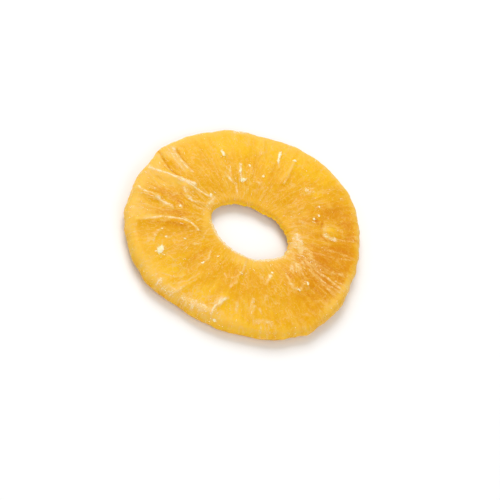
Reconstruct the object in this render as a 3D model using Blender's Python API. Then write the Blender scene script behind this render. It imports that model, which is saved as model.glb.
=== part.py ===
"""Candied pineapple ring: one slice with its core punched out, dried and lying flat.

The slice starts as a section with rounded ends, turned round the upright axis. Drying then
takes it out of round, sinks its faces towards the hole, raises folds and creases on them, and
warps it. Its underside is pressed flat where it rests.

Units are metres, +Z up. The origin is on the table, under the middle of the slice.
"""

import math
from dataclasses import dataclass

import bmesh
import bpy
from mathutils import Vector, noise

NODE_NAME = "pineapple_ring"

# Driving dimensions of the slice
OUTER_RADIUS = 0.0401
HOLE_RADIUS = 0.0113
BAND_WIDTH = OUTER_RADIUS - HOLE_RADIUS

# Where the outline and the hole are drawn from, in the finished slice's own frame
RIM_CENTRE = Vector((0.00042, -0.00061))
HOLE_CENTRE = Vector((0.00199, -0.00024))

# Thickness at the hole, halfway out and just inside the rim, shared above and below the middle
HOLE_THICKNESS = 0.0030
MIDDLE_THICKNESS = 0.0064
RIM_THICKNESS = 0.0054
REACH_FULL = 0.0110
HOLE_ROUND = 0.0014
RIM_ROUND = 0.0026

# Mesh steps: round the ring, across the upper and lower faces, and over each rounded end
RING_STEPS = 168
UPPER_STEPS = 14
LOWER_STEPS = 8
UPPER_ROUND_STEPS = 3
LOWER_ROUND_STEPS = 2

# How far the slice is warped, and how much of its underside is pressed flat where it rests
PRESSED_DEPTH = 0.00055
WARP_DEPTH = 0.00030

# Shallow waves that drying leaves all over both faces
WRINKLE_HEIGHT = 0.00022
WRINKLE_PITCH = 0.0085
FIBRE_HEIGHT = 0.00016
FIBRE_COUNT = 34
FIBRE_DRIFT = 2.2

# Golden flesh, in linear colour
FLESH_COLOUR = (0.880, 0.474, 0.072, 1.0)
FLESH_ROUGHNESS = 0.48


@dataclass(frozen=True)
class Wave:
    """One even wave round the ring: its number of lobes, its height and where its first lobe is."""

    lobes: int
    height: float
    turn_deg: float

    def at(self, turn: float) -> float:
        """Return the wave's height at an angle in radians."""
        return self.height * math.cos(self.lobes * (turn - math.radians(self.turn_deg)))


@dataclass(frozen=True)
class Dent:
    """A short dip (negative height) or bump in the outline, centred at one angle."""

    turn_deg: float
    half_width_deg: float
    height: float

    def at(self, turn: float) -> float:
        """Return the dent's height at an angle in radians."""
        away = math.degrees(turn) - self.turn_deg
        away = (away + 180.0) % 360.0 - 180.0
        return self.height * math.exp(-((away / self.half_width_deg) ** 2))


@dataclass(frozen=True)
class Fold:
    """A crest (positive height) or a groove on the upper face, along a shallow bow.

    It runs from start to end, bows to the left of that direction, and falls away over
    one half width on its left and another on its right.
    """

    start: tuple[float, float]
    end: tuple[float, float]
    bow: float
    height: float
    left_width: float
    right_width: float

    def at(self, place: Vector) -> float:
        """Return the fold's height over a point of the face."""
        start = Vector(self.start)
        run = Vector(self.end) - start
        length = run.length
        along_way = run / length
        left_way = Vector((-along_way.y, along_way.x))
        away = place - start
        along = away.dot(along_way)
        share = min(max(along / length, 0.0), 1.0)
        sideways = away.dot(left_way) - self.bow * 4.0 * share * (1.0 - share)
        overrun = along - share * length
        width = self.left_width if sideways > 0.0 else self.right_width
        return self.height * math.exp(-((sideways / width) ** 2) - (overrun / self.left_width) ** 2)


@dataclass(frozen=True)
class Lump:
    """A rounded lump on the upper face."""

    centre: tuple[float, float]
    radius: float
    height: float

    def at(self, place: Vector) -> float:
        """Return the lump's height over a point of the face."""
        reach = (place - Vector(self.centre)).length / self.radius
        return self.height * math.exp(-(reach ** 4))


RIM_WAVES = (
    Wave(2, 0.00016, -12.0),
    Wave(3, 0.00061, -43.0),
    Wave(4, 0.00072, -41.0),
    Wave(11, 0.00012, 12.0),
    Wave(17, 0.00010, 5.0),
)
RIM_DENTS = (
    Dent(157.0, 4.0, 0.0008),
    Dent(170.0, 5.0, -0.0004),
    Dent(198.0, 5.0, 0.0004),
    Dent(214.0, 3.0, -0.0005),
    Dent(225.0, 3.0, 0.0004),
    Dent(237.0, 4.0, 0.0004),
    Dent(254.0, 7.0, -0.0005),
    Dent(320.0, 4.0, 0.0005),
    Dent(344.0, 3.0, 0.0003),
    Dent(104.0, 3.0, -0.0003),
    Dent(121.0, 5.0, 0.0005),
    Dent(84.0, 2.5, 0.0003),
)
HOLE_WAVES = (
    Wave(2, 0.00197, -6.0),
    Wave(3, 0.00024, 37.0),
    Wave(4, 0.00025, -7.0),
    Wave(6, 0.00021, -7.0),
    Wave(9, 0.00010, 20.0),
)
WARP_WAVES = (
    Wave(2, WARP_DEPTH, 35.0),
    Wave(3, 0.7 * WARP_DEPTH, 80.0),
)

CRESTS = (
    Fold((-0.0332, -0.0160), (-0.0139, -0.0098), 0.0021, 0.00095, 0.0010, 0.0024),
    Fold((-0.0376, -0.0046), (-0.0250, -0.0053), 0.0006, 0.00075, 0.0011, 0.0022),
    Fold((-0.0382, 0.0053), (-0.0214, 0.0061), 0.0000, 0.00085, 0.0013, 0.0028),
    Fold((-0.0233, 0.0034), (-0.0146, 0.0018), -0.0018, 0.00040, 0.0010, 0.0014),
    Fold((0.0034, -0.0302), (0.0010, -0.0380), -0.0006, 0.00060, 0.0011, 0.0017),
    Fold((-0.0100, -0.0312), (-0.0128, -0.0372), 0.0000, 0.00045, 0.0012, 0.0016),
    Fold((0.0060, 0.0315), (0.0056, 0.0215), 0.0000, 0.00040, 0.0010, 0.0012),
    Fold((0.0040, -0.0124), (0.0047, -0.0245), 0.0003, 0.00035, 0.0009, 0.0012),
    Fold((-0.0068, 0.0365), (-0.0046, 0.0290), 0.0000, 0.00030, 0.0009, 0.0012),
)
GROOVES = (
    Fold((-0.0378, 0.0146), (-0.0262, 0.0078), -0.0010, -0.00095, 0.0012, 0.0011),
    Fold((-0.0322, 0.0168), (-0.0233, 0.0104), 0.0003, -0.00075, 0.0009, 0.0010),
)
LUMPS = (
    Lump((0.0257, 0.0112), 0.0030, 0.00100),
    Lump((-0.0218, -0.0232), 0.0014, 0.00060),
    Lump((-0.0168, 0.0224), 0.0012, 0.00050),
    Lump((0.0260, -0.0120), 0.0017, 0.00040),
    Lump((-0.0295, 0.0125), 0.0030, 0.00035),
    Lump((0.0170, 0.0025), 0.0030, 0.00030),
)


def clear_scene() -> None:
    """Remove whatever the scene holds."""
    for old in list(bpy.data.objects):
        bpy.data.objects.remove(old, do_unlink=True)


def ease(share: float) -> float:
    """Return a smooth step from 0 to 1 for a share that is held between them."""
    held = min(max(share, 0.0), 1.0)
    return held * held * (3.0 - 2.0 * held)


def rim_radius(turn: float) -> float:
    """Return the dried outline's radius at an angle."""
    waves = sum(wave.at(turn) for wave in RIM_WAVES)
    dents = sum(dent.at(turn) for dent in RIM_DENTS)
    return OUTER_RADIUS + waves + dents


def hole_radius(turn: float) -> float:
    """Return the dried hole's radius at an angle, about its own centre."""
    return HOLE_RADIUS + sum(wave.at(turn) for wave in HOLE_WAVES)


def half_thickness(from_hole: float) -> float:
    """Return half the thickness at a distance from the hole's edge, before the ends are rounded."""
    near_hole = ease(from_hole / REACH_FULL)
    near_rim = ease((from_hole - REACH_FULL) / (BAND_WIDTH - REACH_FULL))
    inner = HOLE_THICKNESS + (MIDDLE_THICKNESS - HOLE_THICKNESS) * near_hole
    return 0.5 * (inner + (RIM_THICKNESS - MIDDLE_THICKNESS) * near_rim)


def end_rounding(from_hole: float) -> float:
    """Return the share of the thickness left by the rounded ends, 0 at the edges and 1 between."""
    at_hole = 1.0 - min(from_hole / HOLE_ROUND, 1.0)
    at_rim = 1.0 - min((BAND_WIDTH - from_hole) / RIM_ROUND, 1.0)
    return math.sqrt(max(1.0 - at_hole * at_hole, 0.0) * max(1.0 - at_rim * at_rim, 0.0))


def face_distances(face_steps: int, round_steps: int) -> list[float]:
    """Return distances from the hole's edge across one face, close together over its ends.

    Args:
        face_steps: even steps between the two rounded ends.
        round_steps: steps over each rounded end.

    Returns:
        The distances from one edge to the other, with neither edge.
    """
    angles = [0.5 * math.pi * step / round_steps for step in range(1, round_steps)]
    flat_width = BAND_WIDTH - HOLE_ROUND - RIM_ROUND
    hole_end = [HOLE_ROUND * (1.0 - math.cos(angle)) for angle in angles]
    flat = [HOLE_ROUND + flat_width * step / face_steps for step in range(face_steps + 1)]
    rim_end = [BAND_WIDTH - RIM_ROUND * (1.0 - math.cos(angle)) for angle in reversed(angles)]
    return hole_end + flat + rim_end


def cut_blank() -> bmesh.types.BMesh:
    """Draw the slice's section as a closed loop and turn it once round the upright axis."""
    upper = face_distances(UPPER_STEPS, UPPER_ROUND_STEPS)
    lower = face_distances(LOWER_STEPS, LOWER_ROUND_STEPS)
    section = [(0.0, 0.0)]
    section += [(reach, half_thickness(reach) * end_rounding(reach)) for reach in upper]
    section += [(BAND_WIDTH, 0.0)]
    section += [(reach, -half_thickness(reach) * end_rounding(reach)) for reach in reversed(lower)]
    blank = bmesh.new()
    corners = [blank.verts.new((HOLE_RADIUS + reach, 0.0, height)) for reach, height in section]
    loop = [blank.edges.new((corner, corners[index - 1])) for index, corner in enumerate(corners)]
    bmesh.ops.spin(
        blank,
        geom=corners + loop,
        cent=(0.0, 0.0, 0.0),
        axis=(0.0, 0.0, 1.0),
        angle=math.tau,
        steps=RING_STEPS,
        use_merge=True,
    )
    bmesh.ops.remove_doubles(blank, verts=blank.verts, dist=0.000001)
    bmesh.ops.recalc_face_normals(blank, faces=blank.faces)
    return blank


def fibre_relief(turn: float, from_hole: float) -> float:
    """Return the low relief of the fibres, which run out from the hole."""
    place = Vector((math.cos(turn), math.sin(turn), 0.0)) * (FIBRE_COUNT / math.tau)
    place.z = FIBRE_DRIFT * from_hole / BAND_WIDTH
    return FIBRE_HEIGHT * noise.noise(place) * ease(from_hole / REACH_FULL)


def wrinkle_relief(place: Vector, layer: float) -> float:
    """Return the shallow unevenness of a face; each face reads its own layer of it."""
    spot = Vector((place.x, place.y, 0.0)) / WRINKLE_PITCH
    spot.z = layer
    return WRINKLE_HEIGHT * noise.noise(spot)


def upper_relief(place: Vector, turn: float, from_hole: float) -> float:
    """Return how far the upper face stands above the plain slice at a point."""
    folds = sum(fold.at(place) for fold in CRESTS + GROOVES)
    lumps = sum(lump.at(place) for lump in LUMPS)
    return folds + lumps + wrinkle_relief(place, 0.5) + fibre_relief(turn, from_hole)


def lower_relief(place: Vector, turn: float, from_hole: float) -> float:
    """Return how far the lower face stands below the plain slice at a point."""
    return wrinkle_relief(place, 7.5) + fibre_relief(-turn, from_hole)


def dry_out(slice_mesh: bmesh.types.BMesh) -> None:
    """Move every point of the turned blank to where it is on the dried slice."""
    for vert in slice_mesh.verts:
        turn = math.atan2(vert.co.y, vert.co.x)
        from_hole = min(max(math.hypot(vert.co.x, vert.co.y) - HOLE_RADIUS, 0.0), BAND_WIDTH)
        across = from_hole / BAND_WIDTH
        outwards = Vector((math.cos(turn), math.sin(turn)))
        at_hole = HOLE_CENTRE + hole_radius(turn) * outwards
        at_rim = RIM_CENTRE + rim_radius(turn) * outwards
        place = at_hole.lerp(at_rim, across)
        height = vert.co.z
        share = height / half_thickness(from_hole)
        if share > 0.0:
            height += share * upper_relief(place, turn, from_hole)
        else:
            height += share * lower_relief(place, turn, from_hole)
        warp = sum(wave.at(turn) for wave in WARP_WAVES)
        vert.co = (place.x, place.y, height + warp * across)


def press_flat(slice_mesh: bmesh.types.BMesh) -> None:
    """Stand the slice on the table, with its lowest parts pressed flat, over the origin."""
    table = min(vert.co.z for vert in slice_mesh.verts) + PRESSED_DEPTH
    middle_x = 0.5 * sum(pick(vert.co.x for vert in slice_mesh.verts) for pick in (min, max))
    middle_y = 0.5 * sum(pick(vert.co.y for vert in slice_mesh.verts) for pick in (min, max))
    for vert in slice_mesh.verts:
        vert.co.x -= middle_x
        vert.co.y -= middle_y
        vert.co.z = max(vert.co.z - table, 0.0)


def candied_flesh() -> bpy.types.Material:
    """Make the golden, slightly glossy finish of candied flesh."""
    flesh = bpy.data.materials.new("candied_flesh")
    flesh.use_nodes = True
    shader = flesh.node_tree.nodes["Principled BSDF"]
    shader.inputs["Base Color"].default_value = FLESH_COLOUR
    shader.inputs["Roughness"].default_value = FLESH_ROUGHNESS
    shader.inputs["Metallic"].default_value = 0.0
    flesh.diffuse_color = FLESH_COLOUR
    return flesh


def make_ring() -> bpy.types.Object:
    """Model the ring as one closed solid and put it in the scene."""
    slice_mesh = cut_blank()
    dry_out(slice_mesh)
    press_flat(slice_mesh)
    mesh = bpy.data.meshes.new(NODE_NAME)
    slice_mesh.to_mesh(mesh)
    slice_mesh.free()
    mesh.shade_smooth()
    mesh.materials.append(candied_flesh())
    ring = bpy.data.objects.new(NODE_NAME, mesh)
    bpy.context.scene.collection.objects.link(ring)
    return ring


def main() -> None:
    """Clear the scene and model the ring."""
    clear_scene()
    make_ring()


main()
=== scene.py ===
"""Scene of a candied pineapple ring that lies flat, its folded upper face towards the camera.

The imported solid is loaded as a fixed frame. The slice is modelled again over it at full
detail, from the same named sizes, and dressed with golden flesh, pale fibres and sugar frost.
Grains, slivers and flakes of sugar lie on it, each kind as one joined mesh. Units are
metres, +Z up, except in the tables of whole numbers, where each table's function says them.
"""

import logging
import math
from dataclasses import dataclass, field
from enum import Enum
from functools import cache

import bpy
import numpy as np
from mathutils import Matrix, Vector, noise


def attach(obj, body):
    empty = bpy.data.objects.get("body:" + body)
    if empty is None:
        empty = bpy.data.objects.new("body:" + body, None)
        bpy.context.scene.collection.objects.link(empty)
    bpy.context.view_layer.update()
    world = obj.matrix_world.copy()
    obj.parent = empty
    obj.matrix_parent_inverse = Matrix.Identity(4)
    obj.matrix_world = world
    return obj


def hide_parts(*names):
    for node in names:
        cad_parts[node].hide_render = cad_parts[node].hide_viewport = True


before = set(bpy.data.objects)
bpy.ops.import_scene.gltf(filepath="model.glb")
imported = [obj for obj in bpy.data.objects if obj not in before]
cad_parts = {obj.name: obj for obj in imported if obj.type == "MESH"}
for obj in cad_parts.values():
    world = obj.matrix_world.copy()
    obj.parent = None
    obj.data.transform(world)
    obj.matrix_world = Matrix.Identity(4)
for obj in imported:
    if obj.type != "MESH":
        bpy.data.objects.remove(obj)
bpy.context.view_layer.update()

LOG = logging.getLogger("pineapple_ring")
NODE = "pineapple_ring"

Place = tuple[float, float]
Triple = tuple[float, float, float]
Colour = tuple[float, float, float, float]

# What divides the tables' whole numbers: tenths and hundredths of a millimetre, and hundredths
TENTHS_MM = 10000.0
HUNDREDTHS_MM = 100000.0
HUNDREDTHS = 100.0


class Face(Enum):
    """The broad faces of the slice: the layer of noise each one reads, and its hand."""

    UPPER = (0.5, 1.0)
    LOWER = (7.5, -1.0)


def srgb(red: int, green: int, blue: int) -> Colour:
    """Return a colour given in display values as linear values.

    Args:
        red: from 0 to 255.
        green: from 0 to 255.
        blue: from 0 to 255.

    Returns:
        Linear red, green and blue, with full alpha.
    """
    parts = [value / 255.0 for value in (red, green, blue)]
    linear = [p / 12.92 if p <= 0.04045 else ((p + 0.055) / 1.055) ** 2.4 for p in parts]
    return (linear[0], linear[1], linear[2], 1.0)


def held(values: np.ndarray) -> np.ndarray:
    """Return values that are held between 0 and 1."""
    return np.clip(values, 0.0, 1.0)


def ease(share: np.ndarray) -> np.ndarray:
    """Return a smooth step from 0 to 1 for shares that are held between them."""
    return held(share) * held(share) * (3.0 - 2.0 * held(share))


def bell(away: np.ndarray, width: float | np.ndarray) -> np.ndarray:
    """Return a soft bump, 1 in its middle, that falls away over a width."""
    return np.exp(-((away / width) ** 2))


def noise_at(x: np.ndarray, y: np.ndarray, z: np.ndarray | float) -> np.ndarray:
    """Return gradient noise, about -0.5 to 0.5, at columns of x, y and z."""
    return np.array([noise.noise(Vector(point)) for point in zip(*np.broadcast_arrays(x, y, z))])


def turned(
    x: np.ndarray, y: np.ndarray, centre: Place, turn_deg: float
) -> tuple[np.ndarray, np.ndarray]:
    """Return how far points lie from a centre, along a turned direction and across it.

    Args:
        x: places along X.
        y: places along Y.
        centre: where both distances start.
        turn_deg: the direction's angle from X in degrees.

    Returns:
        The distances along the direction, and those across it, positive on its left.
    """
    turn = math.radians(turn_deg)
    away_x = x - centre[0]
    away_y = y - centre[1]
    along = away_x * math.cos(turn) + away_y * math.sin(turn)
    return along, away_y * math.cos(turn) - away_x * math.sin(turn)


def total(forms: tuple, x: np.ndarray, y: np.ndarray) -> np.ndarray:
    """Return what forms such as folds or patches add up to over points of the face."""
    return sum(form.at(x, y) for form in forms)


def points_of(mesh: bpy.types.Mesh) -> np.ndarray:
    """Return a mesh's points.

    Args:
        mesh: the mesh that is read.

    Returns:
        Rows of x, y and z.
    """
    flat = np.empty(len(mesh.vertices) * 3)
    mesh.vertices.foreach_get("co", flat)
    return flat.reshape(-1, 3)


@dataclass(frozen=True)
class Wave:
    """One even wave round the ring: its number of lobes, its height and where its first lobe is."""

    lobes: int
    height: float
    turn_deg: float

    def at(self, turn: np.ndarray) -> np.ndarray:
        """Return the wave's height at angles in radians."""
        return self.height * np.cos(self.lobes * (turn - math.radians(self.turn_deg)))


@dataclass(frozen=True)
class Dent:
    """A short dip (negative height) or bump in the outline, centred at one angle."""

    turn_deg: float
    half_width_deg: float
    height: float

    def at(self, turn: np.ndarray) -> np.ndarray:
        """Return the dent's height at angles in radians."""
        away = (np.degrees(turn) - self.turn_deg + 180.0) % 360.0 - 180.0
        return self.height * bell(away, self.half_width_deg)


@dataclass(frozen=True)
class Fold:
    """A crest (positive height) or a groove on the upper face, along a shallow bow.

    It runs from start to end, bows to the left of that direction, and falls away over
    one half width on its left and another on its right.
    """

    start: Place
    end: Place
    bow: float
    height: float
    left_width: float
    right_width: float

    def at(self, x: np.ndarray, y: np.ndarray) -> np.ndarray:
        """Return the fold's height over points of the face.

        Args:
            x: places along X.
            y: places along Y.

        Returns:
            The height at each point.
        """
        run = np.subtract(self.end, self.start)
        length = float(np.hypot(*run))
        way = run / length
        away_x = x - self.start[0]
        away_y = y - self.start[1]
        along = away_x * way[0] + away_y * way[1]
        share = held(along / length)
        sideways = away_y * way[0] - away_x * way[1] - self.bow * 4.0 * share * (1.0 - share)
        overrun = along - share * length
        width = np.where(sideways > 0.0, self.left_width, self.right_width)
        return self.height * np.exp(-((sideways / width) ** 2) - (overrun / self.left_width) ** 2)


@dataclass(frozen=True)
class Crease:
    """A thin line on the upper face, through a few places: set sugar, or a crevice if it is sunk.

    It thins out to a share of its width and strength at its tip.
    """

    places: tuple[Place, ...]
    half_width: float
    height: float
    strength: float
    tip: float

    def at(self, x: np.ndarray, y: np.ndarray) -> np.ndarray:
        """Return how near to the line points of the face are.

        Args:
            x: places along X.
            y: places along Y.

        Returns:
            A share at each point, from 1 on the line to 0 away from it.
        """
        runs = [np.subtract(end, start) for start, end in zip(self.places, self.places[1:])]
        lengths = [float(np.hypot(*run)) for run in runs]
        passed = 0.0
        nearest = np.zeros(len(x))
        for start, run, length in zip(self.places, runs, lengths):
            share = held(((x - start[0]) * run[0] + (y - start[1]) * run[1]) / length ** 2)
            away = np.hypot(x - start[0] - share * run[0], y - start[1] - share * run[1])
            thin = 1.0 - (1.0 - self.tip) * (passed + share * length) / sum(lengths)
            nearest = np.maximum(nearest, thin * bell(away, self.half_width * thin))
            passed += length
        return nearest


@dataclass(frozen=True)
class Lump:
    """A lump on the upper face: round where its corners are 2, squarer where they are more."""

    centre: Place
    radius: float
    height: float
    corners: float = 2.0
    turn_deg: float = 0.0

    def at(self, x: np.ndarray, y: np.ndarray) -> np.ndarray:
        """Return the lump's height over points of the face.

        Args:
            x: places along X.
            y: places along Y.

        Returns:
            The height at each point.
        """
        along, across = turned(x, y, self.centre, self.turn_deg)
        reach = np.abs(along) ** self.corners + np.abs(across) ** self.corners
        return self.height * np.exp(-((reach ** (1.0 / self.corners) / self.radius) ** 4))


@dataclass(frozen=True)
class Patch:
    """A soft oval patch of the upper face, such as a bloom of sugar or a deeper tone."""

    centre: Place
    half_length: float
    half_width: float
    turn_deg: float
    strength: float

    def at(self, x: np.ndarray, y: np.ndarray) -> np.ndarray:
        """Return the patch's strength over points of the face.

        Args:
            x: places along X.
            y: places along Y.

        Returns:
            The strength at each point.
        """
        along, across = turned(x, y, self.centre, self.turn_deg)
        reach = (along / self.half_length) ** 2 + (across / self.half_width) ** 2
        return self.strength * np.exp(-reach)


@dataclass(frozen=True)
class Fleck(Patch):
    """A fleck of sugar crust: an oval scatter of small flakes on whitened ground."""

    flakes: int
    spread: float = 0.62

    def scatter(self, draw: np.random.Generator) -> list[Place]:
        """Draw places for the fleck's flakes at random over its oval.

        Args:
            draw: the source of random numbers.

        Returns:
            A place for each flake.
        """
        turn = math.radians(self.turn_deg)
        places = []
        for _ in range(self.flakes):
            away = abs(draw.normal(0.0, self.spread))
            angle = draw.uniform(0.0, math.tau)
            along = away * math.cos(angle) * self.half_length
            across = away * math.sin(angle) * self.half_width
            x = self.centre[0] + along * math.cos(turn) - across * math.sin(turn)
            y = self.centre[1] + along * math.sin(turn) + across * math.cos(turn)
            places.append((x, y))
        return places


def creases_from(*rows: tuple[int, ...]) -> tuple[Crease, ...]:
    """Return creases from a table of whole numbers.

    Args:
        rows: the half width and height in hundredths of a millimetre, the strength and tip
            in hundredths, then each place's x and y in tenths of a millimetre.

    Returns:
        A crease for each row.
    """
    creases = []
    for half_width, height, strength, tip, *run in rows:
        places = tuple((x / TENTHS_MM, y / TENTHS_MM) for x, y in zip(run[::2], run[1::2]))
        sizes = (half_width / HUNDREDTHS_MM, height / HUNDREDTHS_MM)
        creases.append(Crease(places, *sizes, strength / HUNDREDTHS, tip / HUNDREDTHS))
    return tuple(creases)


def patches_from(*rows: tuple[int, ...]) -> tuple[Patch, ...]:
    """Return patches, or flecks, from a table of whole numbers.

    Args:
        rows: the centre's x and y, the half length and the half width in tenths of a
            millimetre, the turn in degrees, the strength in hundredths, and for a fleck
            its number of flakes.

    Returns:
        A patch or a fleck for each row.
    """
    patches = []
    for x, y, half_length, half_width, turn, strength, *flakes in rows:
        oval = ((x / TENTHS_MM, y / TENTHS_MM), half_length / TENTHS_MM, half_width / TENTHS_MM)
        kind = Fleck if flakes else Patch
        patches.append(kind(*oval, float(turn), strength / HUNDREDTHS, *flakes))
    return tuple(patches)


RIM_WAVES = (
    Wave(2, 0.00016, -12.0),
    Wave(3, 0.00061, -43.0),
    Wave(4, 0.00072, -41.0),
    Wave(11, 0.00012, 12.0),
    Wave(17, 0.00010, 5.0),
)
RIM_DENTS = (
    Dent(157.0, 4.0, 0.0008),
    Dent(170.0, 5.0, -0.0004),
    Dent(198.0, 5.0, 0.0004),
    Dent(214.0, 3.0, -0.0005),
    Dent(225.0, 3.0, 0.0004),
    Dent(237.0, 4.0, 0.0004),
    Dent(254.0, 7.0, -0.0005),
    Dent(320.0, 4.0, 0.0005),
    Dent(344.0, 3.0, 0.0003),
    Dent(104.0, 3.0, -0.0003),
    Dent(121.0, 5.0, 0.0005),
    Dent(84.0, 2.5, 0.0003),
)
HOLE_WAVES = (
    Wave(2, 0.00197, -6.0),
    Wave(3, 0.00024, 37.0),
    Wave(4, 0.00025, -7.0),
    Wave(6, 0.00021, -7.0),
    Wave(9, 0.00010, 20.0),
)
WARP_WAVES = (
    Wave(2, 0.00030, 35.0),
    Wave(3, 0.00021, 80.0),
)

# Crests and grooves that stand in the solid too
CRESTS = (
    Fold((-0.0332, -0.0160), (-0.0139, -0.0098), 0.0021, 0.00085, 0.0012, 0.0026),
    Fold((-0.0376, -0.0042), (-0.0300, -0.0042), -0.0003, 0.00075, 0.0011, 0.0022),
    Fold((-0.0298, -0.0045), (-0.0250, -0.0056), 0.0002, 0.00060, 0.0010, 0.0018),
    Fold((-0.0382, 0.0050), (-0.0214, 0.0058), 0.0000, 0.00085, 0.0013, 0.0028),
    Fold((-0.0233, 0.0034), (-0.0146, 0.0018), -0.0018, 0.00030, 0.0010, 0.0014),
    Fold((0.0034, -0.0302), (0.0010, -0.0380), -0.0006, 0.00042, 0.0013, 0.0019),
    Fold((-0.0100, -0.0312), (-0.0128, -0.0372), 0.0000, 0.00045, 0.0012, 0.0016),
    Fold((0.0060, 0.0315), (0.0056, 0.0215), 0.0000, 0.00040, 0.0010, 0.0012),
    Fold((0.0040, -0.0124), (0.0047, -0.0245), 0.0003, 0.00035, 0.0009, 0.0012),
    Fold((-0.0068, 0.0365), (-0.0046, 0.0290), 0.0000, 0.00030, 0.0009, 0.0012),
)
GROOVES = (
    Fold((-0.0378, 0.0146), (-0.0262, 0.0078), -0.0010, -0.00042, 0.0010, 0.0010),
    Fold((-0.0322, 0.0168), (-0.0233, 0.0104), 0.0003, -0.00026, 0.0008, 0.0009),
)
LUMPS = (
    Lump((0.0252, 0.0112), 0.0019, 0.00045, 2.2, 22.0),
    Lump((0.0270, 0.0103), 0.0021, 0.00075, 2.7, 30.0),
    Lump((-0.0218, -0.0232), 0.0015, 0.00022),
    Lump((-0.0168, 0.0224), 0.0012, 0.00050),
    Lump((0.0260, -0.0120), 0.0017, 0.00040),
    Lump((-0.0295, 0.0125), 0.0030, 0.00035),
    Lump((0.0170, 0.0025), 0.0030, 0.00030),
)

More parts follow.
